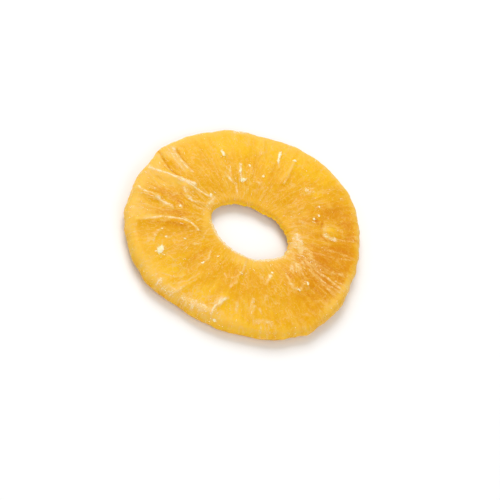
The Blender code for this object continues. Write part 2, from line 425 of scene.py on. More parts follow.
# Thin lines of set sugar on the crests and between them, too fine for the solid
CREASES = creases_from(
    (62, 5, 100, 60, -263, -117, -299, -141, -322, -160),
    (62, 10, 125, 90, -263, -117, -218, -98, -193, -88, -173, -88, -155, -93, -137, -101),
    (59, 8, 125, 65, -374, -36, -368, -44, -362, -49),
    (60, 9, 118, 65, -362, -49, -343, -47, -324, -44, -306, -50),
    (82, 9, 112, 80, -306, -52, -280, -57, -243, -60),
    (66, 8, 112, 100, -370, 50, -340, 51, -310, 56, -273, 54, -243, 56),
    (115, 12, 140, 85, -262, 53, -238, 55, -211, 59),
    (70, 4, 61, 65, -236, 36, -223, 24, -210, 5),
    (58, 10, 112, 65, -210, 5, -194, -2, -171, 5, -146, 17),
    (95, 6, 98, 50, -134, 52, -142, 17, -150, -30),
    (50, 5, 80, 65, -137, 52, -128, 29, -134, -1, -144, -32),
    (50, 4, 74, 65, -171, -17, -135, 3),
    (50, 4, 70, 65, -175, -47, -148, -27),
    (70, 3, 55, 65, -262, -16, -249, 1, -236, 17),
    (80, 8, 105, 100, -326, 168, -305, 143, -268, 121, -239, 108),
    (56, 5, 80, 100, -352, 166, -300, 122, -256, 92),
    (50, 4, 70, 100, -340, 172, -312, 146, -280, 116),
    (56, 4, 60, 100, -372, 122, -340, 98, -306, 76),
    (61, 4, 61, 65, -184, 57, -148, 54),
    (61, 4, 61, 65, -158, -52, -172, -60, -188, -72),
    (77, 10, 106, 65, -257, -187, -250, -176),
    (61, 4, 61, 65, -267, -212, -254, -216),
    (61, 3, 41, 65, -158, 308, -136, 303),
    (77, 4, 61, 65, -68, 360, -55, 325, -46, 295),
    (61, 8, 106, 65, 8, 305, 22, 264),
    (70, 4, 61, 65, 60, 310, 56, 215),
    (70, 8, 90, 65, -128, 178, -113, 158),
    (61, 10, 112, 65, -119, 147, -92, 135),
    (70, 11, 132, 65, -101, 214, -87, 180, -73, 157, -60, 175),
    (70, 10, 90, 65, -27, 177, -14, 176, -8, 186),
    (70, 4, 66, 65, -81, 120, -63, 93),
    (61, 4, 61, 65, 83, 222, 96, 212),
    (77, 3, 55, 65, 128, 218, 140, 198),
    (104, 7, 68, 65, 143, 78, 157, 65, 166, 49),
    (130, 14, 105, 65, 166, 49, 174, 33, 191, 20, 204, 10),
    (120, 10, 95, 65, 182, 28, 167, 0, 156, -30, 145, -55),
    (71, 6, 112, 90, 150, -40, 124, -76, 98, -96, 69, -106, 42, -112),
    (65, 5, 92, 65, 42, -112, 15, -109, -10, -100, -50, -88),
    (70, 6, 66, 65, 216, -32, 251, -48, 284, -52, 322, -46),
    (64, 6, 66, 90, 248, -66, 284, -83, 321, -99, 357, -116),
    (56, 5, 80, 65, 211, -59, 230, -89, 254, -115),
    (52, 6, 78, 100, 265, -57, 316, -66, 366, -81),
    (59, 6, 84, 100, 204, -145, 225, -158, 246, -152, 250, -125),
    (52, 9, 98, 65, -130, -367, -113, -348, -97, -312, -74, -278),
    (50, 7, 82, 65, -182, -309, -139, -303, -112, -283),
    (56, 7, 88, 65, -148, -344, -123, -347, -98, -346, -80, -354),
    (48, 5, 72, 65, -73, -203, -66, -181, -72, -150, -63, -116),
    (53, 4, 73, 65, -87, 139, -74, 118, -63, 94),
    (50, 4, 66, 65, -47, 138, -50, 95, -65, 93),
    (53, 4, 73, 65, 59, 212, 60, 251, 62, 284),
    (47, 5, 73, 65, 18, 280, 13, 300, 6, 329),
    (53, 4, 66, 65, -75, 224, -48, 223),
    (125, 7, 60, 65, 193, 14, 226, -8, 263, -31, 315, -38),
    (85, 4, 66, 65, 193, -1, 216, -24, 239, -38),
    (70, 7, 106, 65, 186, 5, 203, -20),
    (70, 4, 66, 65, 176, -20, 190, -45),
    (77, 3, 55, 65, 156, 101, 178, 102, 206, 104),
    (65, 8, 90, 65, 200, -63, 212, -91),
    (65, 8, 90, 65, 188, -72, 192, -96),
    (65, 5, 66, 65, 213, -57, 216, -78),
    (62, 7, 96, 65, 48, -130, 51, -160, 50, -189),
    (55, 5, 66, 65, 50, -189, 35, -212, 20, -222),
    (85, 10, 112, 65, 137, -147, 138, -184),
    (55, 5, 76, 65, 35, -251, 38, -237, 53, -225, 72, -223, 84, -229),
    (60, 10, 150, 90, 37, -300, 23, -323, 13, -354, 11, -373),
    (77, 4, 61, 65, -15, -320, 10, -300, 28, -293),
    (77, 8, 90, 65, 77, -302, 83, -325),
    (75, 5, 85, 65, 130, -283, 133, -325),
    (70, 5, 80, 65, 149, -284, 160, -297),
    (64, 5, 75, 65, 151, -228, 155, -255),
    (105, 5, 90, 65, 155, -333, 178, -317, 204, -311, 207, -325),
    (92, 4, 55, 65, -105, -320, -126, -368),
    (92, 7, 119, 65, -165, 335, -125, 358, -82, 376),
    (92, 4, 61, 65, -40, 386, 46, 388),
    (62, 4, 95, 120, 248, 84, 270, 82, 290, 88),
    (90, 5, 60, 130, 240, 133, 245, 108, 249, 86),
    (80, 4, 36, 130, 240, 135, 270, 140, 295, 130),
    (50, 4, 50, 100, 243, 67, 287, 90, 362, 120),
    (50, 4, 50, 100, 270, 34, 315, 46, 372, 52),
    (50, 4, 46, 100, 243, 5, 310, 20, 377, 48),
    (80, 6, 62, 65, 214, 4, 249, -38, 291, -44),
    (80, 5, 58, 100, 301, -43, 340, -30, 372, -22),
    (66, 6, 66, 100, 228, -39, 270, -72, 318, -90, 371, -97),
    (48, 4, 66, 100, 323, -105, 354, -106, 378, -80),
    (40, 4, 66, 100, 340, -64, 378, -62),
    (40, 4, 66, 100, 338, -78, 380, -86),
    (56, 6, 86, 65, 187, -62, 204, -101),
    (56, 6, 86, 65, 206, -61, 227, -103),
    (56, 6, 80, 65, 216, -44, 245, -87),
    (56, 5, 72, 100, 185, -117, 205, -140, 227, -152),
    (70, 6, 80, 65, -52, -360, -12, -363, -17, -388),
    (70, 7, 85, 65, 9, -367, -18, -371, -48, -369),
    (60, 6, 90, 65, 11, -373, 18, -382, 36, -385),
    (46, 8, 105, 80, 44, -294, 26, -306, 8, -334, -8, -342),
    (44, 7, 85, 80, 30, -294, 8, -318, -12, -330),
    (40, 6, 80, 80, 34, -318, 22, -342, 21, -366),
    (56, 6, 95, 65, 73, -295, 80, -315, 87, -333),
    (60, 5, 85, 65, 119, -260, 121, -305),
    (48, 4, 76, 65, -69, -173, -64, -201),
    (50, 4, 80, 65, 2, -214, 12, -227),
    (56, 6, 86, 65, -252, -212, -254, -188),
    (42, 5, 72, 100, -135, -328, -97, -296, -74, -254),
    (56, 7, 105, 100, -237, 50, -206, 47, -172, 48, -141, 52),
    (54, 6, 95, 100, -238, 30, -224, 12, -206, -2),
    (60, 6, 80, 65, -146, 17, -128, 30, -116, 43),
    (60, 4, 70, 100, -381, 76, -365, 46, -334, 34),
    (46, 4, 55, 100, -368, 31, -342, 16, -309, -7),
    (50, 4, 70, 65, -309, -56, -270, -66, -238, -54),
    (40, 5, 80, 100, -196, -80, -170, -81, -146, -92),
    (100, 3, 46, 60, -113, 78, -81, 88, -45, 100),
    (56, 6, 95, 65, -82, 127, -70, 108, -62, 91),
    (56, 6, 95, 65, -124, 151, -92, 139),
    (50, 6, 95, 65, -254, -167, -240, -148),
    (50, 6, 90, 65, -268, -221, -257, -211),
    (50, 6, 85, 65, -126, -159, -111, -143),
    (50, 5, 75, 65, -112, -95, -106, -69),
    (60, 7, 105, 65, -230, -33, -216, -44),
    (50, 4, 75, 65, -145, -49, -158, -72),
    (44, 3, 50, 100, -360, -92, -330, -88, -300, -92),
    (44, 3, 46, 100, -352, -118, -326, -108, -296, -104),
    (60, 4, 66, 100, -374, 160, -358, 172, -346, 177),
    (60, 4, 42, 90, 242, 122, 258, 130),
)

# Sunk lines where the face is folded over, painted deeper in tone as shade in them
CREVICES = creases_from(
    (42, -28, 100, 80, -378, 150, -344, 115, -308, 85, -279, 68),
    (46, -14, 60, 65, -279, 68, -250, 64, -226, 66),
    (34, -22, 85, 65, -314, 168, -288, 144, -262, 130, -234, 115),
    (48, -8, 55, 65, 229, 128, 231, 105, 241, 80, 262, 69),
    (70, -5, 35, 65, -290, -150, -250, -132, -210, -118, -180, -112),
    (50, -10, 80, 65, -282, 14, -270, 9),
    (45, -10, 60, 65, -240, 6, -228, -4),
    (50, -10, 60, 65, -236, -26, -214, -34, -196, -26),
    (50, -6, 45, 65, -334, 30, -304, 22, -280, 24),
    (55, -10, 60, 65, 204, 130, 216, 118),
    (55, -6, 45, 65, 188, -110, 210, -128),
)

# Flecks of sugar crust, each a few flakes that stand on the face
FLECKS = patches_from(
    (-219, -233, 19, 12, 98, 100, 30),
    (-170, 228, 18, 6, 124, 100, 12),
    (6, 322, 15, 6, 100, 100, 10),
    (10, 296, 12, 3, 105, 100, 3),
    (58, 320, 8, 5, 20, 100, 5),
    (-70, 163, 12, 7, 40, 100, 9),
    (-93, 190, 14, 3, 115, 100, 5),
    (-73, 228, 5, 4, 0, 100, 2),
    (-14, 206, 6, 4, 90, 100, 3),
    (207, 151, 5, 4, 0, 100, 2),
    (-146, 58, 5, 4, 0, 100, 2),
    (-77, -212, 4, 3, 0, 100, 2),
    (-42, -161, 5, 3, 60, 100, 2),
    (46, -186, 4, 3, 0, 100, 1),
    (140, -131, 6, 4, 20, 100, 3),
    (260, -120, 9, 4, 120, 100, 4),
    (241, -155, 6, 4, 0, 100, 2),
    (-222, -40, 7, 3, 120, 100, 3),
    (-222, -177, 4, 3, 0, 100, 2),
    (-163, -155, 4, 3, 0, 100, 1),
    (-244, -156, 4, 3, 0, 100, 1),
    (-122, 366, 10, 6, 20, 100, 5),
    (-100, 371, 7, 5, 20, 100, 3),
    (46, 388, 8, 5, 0, 100, 4),
    (31, -385, 6, 4, 0, 100, 2),
    (197, 130, 5, 4, 0, 100, 2),
    (196, 184, 4, 3, 0, 100, 1),
)

# Blooms of sugar, soft and pale
BLOOMS = patches_from(
    (176, 20, 34, 19, -50, 110),
    (160, -30, 38, 14, 70, 70),
    (206, -10, 40, 21, -40, 55),
    (155, 74, 30, 18, 110, 45),
    (-295, 126, 42, 19, -28, 50),
    (-335, 172, 34, 17, -35, 35),
    (260, 98, 22, 20, 0, 25),
    (136, 226, 22, 16, 30, 78),
    (163, -333, 24, 14, 20, 50),
    (-180, -335, 70, 20, -30, 45),
    (-30, -362, 62, 20, -6, 95),
    (275, -25, 56, 14, -5, 35),
    (220, 5, 24, 13, 0, 45),
    (-140, 30, 44, 14, 95, 68),
    (20, 130, 100, 28, 0, 28),
    (-200, 110, 60, 50, 0, 22),
    (190, 210, 70, 40, -40, 25),
    (-350, -100, 60, 26, 75, 30),
    (340, -110, 70, 30, 70, 28),
    (-120, -130, 40, 25, 40, 25),
    (-262, 57, 46, 11, 3, 42),
    (-285, -60, 40, 10, -6, 36),
)

# Smooth pale haze, where the flesh is clouded under its skin
HAZES = patches_from(
    (-302, 42, 85, 16, 2, 80),
    (-230, 50, 36, 15, 6, 80),
    (-362, 85, 30, 45, -10, 75),
    (-365, 5, 30, 50, 0, 55),
    (-325, -128, 60, 26, 33, 50),
    (-280, 15, 60, 22, 5, 30),
    (-338, 152, 50, 20, -38, 80),
    (-350, 60, 45, 15, -20, 60),
    (-292, 124, 60, 13, -36, 70),
    (-270, -60, 40, 10, -10, 45),
    (-305, -140, 40, 11, 33, 55),
    (-368, -80, 34, 90, 15, 75),
    (252, 114, 16, 14, 20, 35),
    (276, 96, 18, 14, 20, 20),
    (70, -125, 95, 22, 15, 55),
    (-134, -30, 13, 70, 12, 62),
    (-100, 130, 60, 30, 30, 20),
    (370, -100, 14, 110, -15, 60),
    (180, 130, 60, 30, 0, 25),
    (262, -262, 45, 22, -40, 40),
    (230, 205, 22, 9, -30, 50),
    (-160, -345, 70, 22, -28, 55),
    (40, -365, 120, 20, 4, 40),
    (-235, -285, 80, 35, -42, 38),
    (-120, -300, 50, 30, -20, 30),
    (-10, 350, 150, 22, 0, 35),
    (-270, 230, 80, 25, 45, 35),
)

# Fans of short pale strokes that run out from the middle
FANS = patches_from(
    (180, 0, 56, 42, -35, 45),
    (-90, 180, 50, 60, 110, 45),
    (80, 190, 70, 60, 60, 25),
    (-180, 0, 60, 80, 0, 30),
    (150, -170, 70, 50, -50, 12),
    (10, -340, 140, 30, 0, 25),
    (10, -160, 100, 40, 0, 20),
    (-180, -260, 80, 60, -45, 35),
    (-325, -90, 70, 110, 15, 42),
    (-350, 90, 50, 80, -10, 35),
    (-270, 60, 70, 110, 0, 22),
)

# Deeper (positive) and paler (negative) tones of the flesh, some of them painted shade and painted
# light, as the rows say
TONES_AND_PAINTED_LIGHT = patches_from(
    # Deeper on the right: partly the flesh's own tone, partly painted shadow
    (310, 40, 160, 110, 80, 66),
    (240, -100, 120, 80, -30, 28),
    # This row and the next four, deeper in the valleys beside the folds at the left: painted shade
    (-300, 80, 42, 8, -14, 35),
    (-215, -70, 34, 16, 20, 45),
    (-205, -128, 70, 24, 20, 30),
    (-290, -20, 70, 22, 0, 40),
    (-270, -85, 60, 18, 20, 35),
    (250, 190, 60, 50, -40, 35),
    # This row and the next four, paler towards the rim: partly the flesh's own paler tone, partly
    # painted light glowing through it
    (10, 340, 260, 90, 0, -75),
    (-230, 250, 120, 80, 45, -60),
    (-320, 60, 50, 130, 0, -35),
    (10, -340, 260, 90, 0, -60),
    (-220, -260, 120, 70, -45, -50),
    (30, -135, 120, 30, 0, -35),
    (-60, 180, 80, 60, 0, -30),
    (264, 108, 34, 32, 0, -105),
    (182, 226, 34, 22, -20, -50),
    # Deeper along the left rim, where it turns away from the light: painted shade
    (-382, -20, 24, 150, 0, 42),
)


@dataclass
class CandiedSlice:
    """The ring itself: one slice, dried out of round, creased, frosted and pressed flat."""

    outer_radius: float = 0.0401
    hole_radius: float = 0.0113
    rim_centre: Place = (0.00042, -0.00061)
    hole_centre: Place = (0.00199, -0.00024)
    hole_thickness: float = 0.0030
    middle_thickness: float = 0.0064
    rim_thickness: float = 0.0054
    reach_full: float = 0.0110
    hole_round: float = 0.0014
    rim_round: float = 0.0026
    ring_steps: int = 176
    upper_steps: int = 17
    lower_steps: int = 6
    round_steps: int = 3
    smooth_levels: int = 2
    merge_distance: float = 0.000001
    pressed_depth: float = 0.00055
    wrinkle_height: float = 0.00022
    wrinkle_pitch: float = 0.0085
    fibre_height: float = 0.00016
    fibre_count: int = 34
    fibre_drift: float = 2.2
    strand_share: float = 0.3
    strand_reach: float = 0.004
    strand_fineness: float = 3.1
    strand_drift: float = 3.0
    grain_height: float = 0.00006
    grain_fineness: float = 900.0
    dimple_height: float = 0.00012
    dimple_pitch: float = 0.0026
    crust_height: float = 0.00012
    ragged_fineness: tuple[float, float] = (620.0, 1500.0)
    ridges: tuple[Triple, Triple] = ((0.00032, 11.0, 180.0), (0.00018, 30.0, 500.0))
    edge_sharpness: int = 12
    lip_place: float = 0.0009
    lip_width: float = 0.0008
    bevel_place: float = 0.0012
    bevel_width: float = 0.0016
    rim_start: float = 0.0045
    rim_full: float = 0.0010
    wall_reach: float = 0.004
    wall_fade: float = 0.010
    core_reach: float = 0.0042
    stroke_reach: float = 0.0095
    lit_side_deg: float = 120.0
    piece: bpy.types.Object | None = field(default=None, init=False)

    @property
    def band_width(self) -> float:
        """Return the nominal width from the hole to the rim."""
        return self.outer_radius - self.hole_radius

    def half_thickness(self, from_hole: np.ndarray) -> np.ndarray:
        """Return half the slice's thickness, before its ends are rounded.

        Args:
            from_hole: distances from the hole's edge.

        Returns:
            Half the thickness at each distance.
        """
        near_hole = ease(from_hole / self.reach_full)
        near_rim = ease((from_hole - self.reach_full) / (self.band_width - self.reach_full))
        inner = self.hole_thickness + (self.middle_thickness - self.hole_thickness) * near_hole
        return 0.5 * (inner + (self.rim_thickness - self.middle_thickness) * near_rim)

    def end_rounding(self, from_hole: np.ndarray) -> np.ndarray:
        """Return the share of the thickness that the rounded ends leave.

        Args:
            from_hole: distances from the hole's edge.

        Returns:
            The share at each distance, 0 at both edges.
        """
        at_hole = 1.0 - np.minimum(from_hole / self.hole_round, 1.0)
        at_rim = 1.0 - np.minimum((self.band_width - from_hole) / self.rim_round, 1.0)
        return np.sqrt(held((1.0 - at_hole ** 2) * (1.0 - at_rim ** 2)))

    def face_distances(self, face_steps: int) -> np.ndarray:
        """Return distances from the hole across one face, close together over its ends.

        Args:
            face_steps: even steps between the two rounded ends.

        Returns:
            The distances from one edge to the other, with neither edge.
        """
        angles = 0.5 * math.pi * np.arange(1, self.round_steps) / self.round_steps
        hole_end = self.hole_round * (1.0 - np.cos(angles))
        flat = np.linspace(self.hole_round, self.band_width - self.rim_round, face_steps + 1)
        rim_end = self.band_width - self.rim_round * (1.0 - np.cos(angles[::-1]))
        return np.concatenate([hole_end, flat, rim_end])

    def section(self) -> np.ndarray:
        """Work out the slice's section, from the hole over the upper face and back below.

        Returns:
            Rows of distance from the hole and height.
        """
        upper = self.face_distances(self.upper_steps)
        lower = self.face_distances(self.lower_steps)[::-1]
        upper_height = self.half_thickness(upper) * self.end_rounding(upper)
        lower_height = -self.half_thickness(lower) * self.end_rounding(lower)
        reach = np.concatenate([[0.0], upper, [self.band_width], lower])
        height = np.concatenate([[0.0], upper_height, [0.0], lower_height])
        return np.stack([reach, height], axis=1)

    def build(self) -> None:
        """Model the slice: a section is spun into a ring, smoothed, dried and pressed flat."""
        self._spin_section()
        self._smooth()
        turn, from_hole, share = self._dry_out()
        for name, values in self._paint(turn, from_hole, share).items():
            layer = self.piece.data.attributes.new(name, "FLOAT", "POINT")
            layer.data.foreach_set("value", values.astype(np.float32))
        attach(self.piece, "root")
        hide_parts(NODE)
        LOG.info("candied slice: %d points", len(self.piece.data.vertices))

    def _spin_section(self) -> None:
        """Shape a circle into the section and spin it once round the upright axis."""
        section = self.section()
        bpy.ops.mesh.primitive_circle_add(vertices=len(section), radius=self.rim_round)
        self.piece = bpy.context.object
        self.piece.name = "candied_slice"
        for corner, (reach, height) in zip(self.piece.data.vertices, section):
            corner.co = (self.hole_radius + reach, 0.0, height)
        bpy.ops.object.mode_set(mode="EDIT")
        bpy.ops.mesh.select_all(action="SELECT")
        bpy.ops.mesh.spin(
            steps=self.ring_steps, angle=math.tau, center=(0.0, 0.0, 0.0), axis=(0.0, 0.0, 1.0)
        )
        bpy.ops.mesh.select_all(action="SELECT")
        bpy.ops.mesh.remove_doubles(threshold=self.merge_distance)
        bpy.ops.mesh.normals_make_consistent(inside=False)
        bpy.ops.object.mode_set(mode="OBJECT")

    def _smooth(self) -> None:
        """Divide the ring finely enough for its frost and fibres, and shade it smooth."""
        smooth = self.piece.modifiers.new("smooth", "SUBSURF")
        smooth.levels = self.smooth_levels
        smooth.render_levels = self.smooth_levels
        bpy.ops.object.modifier_apply(modifier=smooth.name)
        bpy.ops.object.shade_smooth()

    def _dry_out(self) -> tuple[np.ndarray, np.ndarray, np.ndarray]:
        """Move every point of the turned ring to where it is on the dried slice.

        Returns:
            Each point's angle, its distance from the hole, and its share of the thickness,
            from -1 on the lower face to 1 on the upper.
        """
        x, y, z = points_of(self.piece.data).T
        turn = np.arctan2(y, x)
        from_hole = np.clip(np.hypot(x, y) - self.hole_radius, 0.0, self.band_width)
        across = from_hole / self.band_width
        share = z / self.half_thickness(from_hole)
        at_hole = self.hole_radius + sum(wave.at(turn) for wave in HOLE_WAVES)
        at_rim = self.outer_radius + sum(bend.at(turn) for bend in RIM_WAVES + RIM_DENTS)
        edge = self._edge_relief(turn, z)
        at_hole = at_hole - edge * (1.0 - across) ** self.edge_sharpness
        at_rim = at_rim + edge * across ** self.edge_sharpness
        way = np.stack([np.cos(turn), np.sin(turn)], axis=1)
        hole_place = np.add(self.hole_centre, at_hole[:, None] * way)
        rim_place = np.add(self.rim_centre, at_rim[:, None] * way)
        place = hole_place + (rim_place - hole_place) * across[:, None]
        upper = self._face_relief(Face.UPPER, place, turn, from_hole)
        lower = self._face_relief(Face.LOWER, place, turn, from_hole)
        relief = np.where(share > 0.0, share * upper, share * lower)
        warp = sum(wave.at(turn) for wave in WARP_WAVES) * across
        height = z + relief + warp
        height = np.maximum(height - height.min() - self.pressed_depth, 0.0)
        self.piece.data.vertices.foreach_set("co", np.column_stack([place, height]).ravel())
        self.piece.data.update()
        return turn, from_hole, share

    def _edge_relief(self, turn: np.ndarray, height: np.ndarray) -> np.ndarray:
        """Return how far the cut edges stand out in small uneven ridges.

        Each kind of ridge has its size, its lanes round the edge and its fineness across it.

        Args:
            turn: angles in radians.
            height: heights above the slice's middle.

        Returns:
            The distance outwards at each point.
        """
        return sum(
            size * noise_at(np.cos(turn) * lanes, np.sin(turn) * lanes, height * fineness)
            for size, lanes, fineness in self.ridges
        )

    def _face_relief(
        self, face: Face, place: np.ndarray, turn: np.ndarray, from_hole: np.ndarray
    ) -> np.ndarray:
        """Return how far a face stands proud of the plain slice.

        Args:
            face: the face that is raised.
            place: rows of x and y.
            turn: angles in radians.
            from_hole: distances from the hole's edge.

        Returns:
            The height at each place.
        """
        x, y = place.T
        layer, hand = face.value
        lanes = self.fibre_count / math.tau
        lane_x = np.cos(turn) * lanes
        lane_y = hand * np.sin(turn) * lanes
        drift = self.fibre_drift * from_hole / self.band_width
        wrinkle = noise_at(x / self.wrinkle_pitch, y / self.wrinkle_pitch, layer)
        fibre = noise_at(lane_x, lane_y, drift)
        finer = self.strand_fineness
        strand = noise_at(lane_x * finer, lane_y * finer, drift * self.strand_drift + layer)
        grain = noise_at(x * self.grain_fineness, y * self.grain_fineness, layer)
        dimple = noise_at(x / self.dimple_pitch, y / self.dimple_pitch, layer)
        spread = ease(from_hole / self.reach_full)
        relief = self.wrinkle_height * wrinkle + self.fibre_height * fibre * spread
        strand = strand * ease(from_hole / self.strand_reach)
        relief += self.strand_share * self.fibre_height * strand
        relief += self.grain_height * grain + self.dimple_height * dimple
        if face is Face.UPPER:
            relief += total(CRESTS + GROOVES, x, y)
            relief += sum(crease.height * crease.at(x, y) for crease in CREASES + CREVICES)
            relief += total(LUMPS, x, y) + self.crust_height * held(total(FLECKS, x, y))
        return relief

    def _paint(
        self, turn: np.ndarray, from_hole: np.ndarray, share: np.ndarray
    ) -> dict[str, np.ndarray]:
        """Work out where the face is frosted, crusted, deep in tone or bare core tissue, and where
        shade and light are painted on it.

        Args:
            turn: each point's angle in radians.
            from_hole: each point's distance from the hole.
            share: each point's share of the thickness.

        Returns:
            The values that the points keep for the finish, by their names.
        """
        x, y, z = points_of(self.piece.data).T
        coarse, fine = self.ragged_fineness
        ragged = noise_at(x * coarse, y * coarse, z * coarse)
        ragged += 0.7 * noise_at(x * fine, y * fine, z * fine)
        line = np.maximum.reduce([crease.strength * crease.at(x, y) for crease in CREASES])
        line = line * (0.97 + 0.52 * ragged)
        sunk = np.maximum.reduce([sunken.strength * sunken.at(x, y) for sunken in CREVICES])
        upper = ease(share * 1.6)
        side = 1.0 - ease(np.abs(share) * 1.2)
        outside = ease((from_hole - self.wall_reach) / self.wall_fade)
        outer_side = side * (1.0 - upper) * outside
        wall = side * (1.0 - outside)
        near_side = ease(-np.sin(turn) * 1.3 + 0.3)
        # key_lit_side is 1 on the side toward the key light, where painted light makes the haze
        # heavier
        key_lit_side = 0.5 + 0.5 * np.cos(turn - math.radians(self.lit_side_deg))
        lip = bell(from_hole - self.lip_place, self.lip_width) * near_side
        bevel = bell(from_hole - self.bevel_place, self.bevel_width) * near_side
        rim_from = self.band_width - self.rim_start
        rim = ease((from_hole - rim_from) / (self.rim_start - self.rim_full))

        # Each value that the finish reads is a weighted sum of the marks above
        bloom = 0.8 * held(total(BLOOMS, x, y)) * (1.0 + 0.8 * ragged)
        frost = upper * (bloom + 0.4 * lip + 0.3 * rim - 0.7 * sunk)
        frost += 0.26 * outer_side * (1.0 + ragged)
        # Painted shade and light: the tone patches hold painted shade, shadow and glow, and the
        # crevices are painted deeper as shade
        tone = upper * (total(TONES_AND_PAINTED_LIGHT, x, y) + 1.1 * sunk)
        # The flesh clouded under its skin, and painted light: the rim's and outer side's haze is
        # heavier on the key-lit side
        haze_and_light = total(HAZES, x, y) + 0.65 * bevel + rim * (0.35 + 0.45 * key_lit_side)
        haze_and_light = upper * (haze_and_light - 0.8 * sunk) + (0.18 + 0.16 * key_lit_side) * outer_side
        strokes = 0.17 + 0.24 * bell(from_hole, self.stroke_reach) + total(FANS, x, y)
        return {
            "frost": held(frost),
            "line": upper * np.clip(np.maximum(line, 1.15 * lip) - 0.7 * sunk, 0.0, 1.2),
            "strokes": np.maximum(upper, 0.5 * side * outside) * held(strokes),
            "crust": upper * held(total(FLECKS, x, y)),
            # Painted glow: the tone is paler on the wall of the hole
            "tone": held(0.5 + 0.5 * tone - 0.18 * rim - 0.6 * wall),
            "core": upper * bell(from_hole, self.core_reach),
            "wall": wall,
            "haze_and_light": held(haze_and_light),
        }

    def dress(self, finish: "CandiedFlesh") -> None:
        """Give the slice its finish."""
        self.piece.data.materials.clear()
        self.piece.data.materials.append(finish.make())


def stored(mesh: bpy.types.Mesh, name: str) -> np.ndarray:
    """Return what a mesh's points keep under a name.

    Args:
        mesh: the mesh that is read.
        name: the attribute's name.

    Returns:
        A value for each point.
    """
    values = np.empty(len(mesh.vertices), dtype=np.float32)
    mesh.attributes[name].data.foreach_get("value", values)
    return values.astype(float)


@dataclass
class Crystals:
    """Small chipped blocks of sugar that lie on the slice, joined as one mesh."""

    name: str
    shape: Triple
    smallest: float
    largest: float
    sunk: float
    tilt_deg: float
    seed: int
    chip: float = 0.24
    size_bias: float = 1.6
    piece: bpy.types.Object | None = field(default=None, init=False)

    def build(self, bed: CandiedSlice) -> None:
        """Model one crystal and lay copies of it on the slice.

        Args:
            bed: the slice that the crystals lie on.
        """
        crystal = self._chip_crystal()
        spots, normals = self.places(bed.piece)
        corners, faces = self._copy_out(crystal, spots, normals)
        bpy.data.objects.remove(crystal, do_unlink=True)
        mesh = bpy.data.meshes.new(self.name)
        mesh.from_pydata(corners, [], faces)
        mesh.update()
        self.piece = bpy.data.objects.new(self.name, mesh)
        bpy.context.scene.collection.objects.link(self.piece)
        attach(self.piece, "root")
        LOG.info("%s: %d crystals", self.name, len(spots))

    def places(self, bed: bpy.types.Object) -> tuple[np.ndarray, np.ndarray]:
        """Return where crystals lie on the slice, and the surface's normals there."""
        raise NotImplementedError

    def heading(self, spot: np.ndarray, draw: np.random.Generator) -> float:
        """Return the angle in radians that a crystal at a place is turned to: any angle."""
        return draw.uniform(0.0, math.tau)

    def dress(self, finish: "SugarFinish") -> None:
        """Give the crystals their finish."""
        self.piece.data.materials.append(finish.make())

    def _chip_crystal(self) -> bpy.types.Object:
        """Model one crystal: a small block with its corners chipped off.

        Returns:
            The crystal's object, one unit long before it is sized.
        """
        bpy.ops.object.select_all(action="DESELECT")
        bpy.ops.mesh.primitive_cube_add(size=1.0)
        crystal = bpy.context.object
        bpy.ops.object.mode_set(mode="EDIT")
        bpy.ops.mesh.select_all(action="SELECT")
        bpy.ops.mesh.bevel(offset=self.chip, affect="VERTICES")
        bpy.ops.mesh.select_all(action="SELECT")
        bpy.ops.transform.resize(value=self.shape)
        bpy.ops.object.mode_set(mode="OBJECT")
        return crystal

    def _copy_out(
        self, crystal: bpy.types.Object, spots: np.ndarray, normals: np.ndarray
    ) -> tuple[list[list[float]], list[list[int]]]:
        """Lay a turned, tilted and sized copy of the crystal at each place.

        Args:
            crystal: the crystal that is copied.
            spots: rows of places.
            normals: rows of the surface's normals there.

        Returns:
            The corners and the faces of all copies together.
        """
        draw = np.random.default_rng(self.seed + 1)
        shape = np.array([corner.co[:] for corner in crystal.data.vertices])
        outline = [list(face.vertices) for face in crystal.data.polygons]
        corners: list[list[float]] = []
        faces: list[list[int]] = []
        for spot, normal in zip(spots, normals):
            share = draw.uniform() ** self.size_bias
            size = self.smallest + (self.largest - self.smallest) * share
            lie = Vector((0.0, 0.0, 1.0)).rotation_difference(Vector(normal)).to_matrix()
            tilt = math.radians(draw.uniform(-self.tilt_deg, self.tilt_deg))
            turn = Matrix.Rotation(self.heading(spot, draw), 3, "Z") @ Matrix.Rotation(tilt, 3, "X")
            start = len(corners)
            laid = shape @ np.array(lie @ turn).T * size
            corners.extend((laid + spot - normal * size * self.sunk).tolist())
            faces.extend([[start + index for index in face] for face in outline])
        return corners, faces


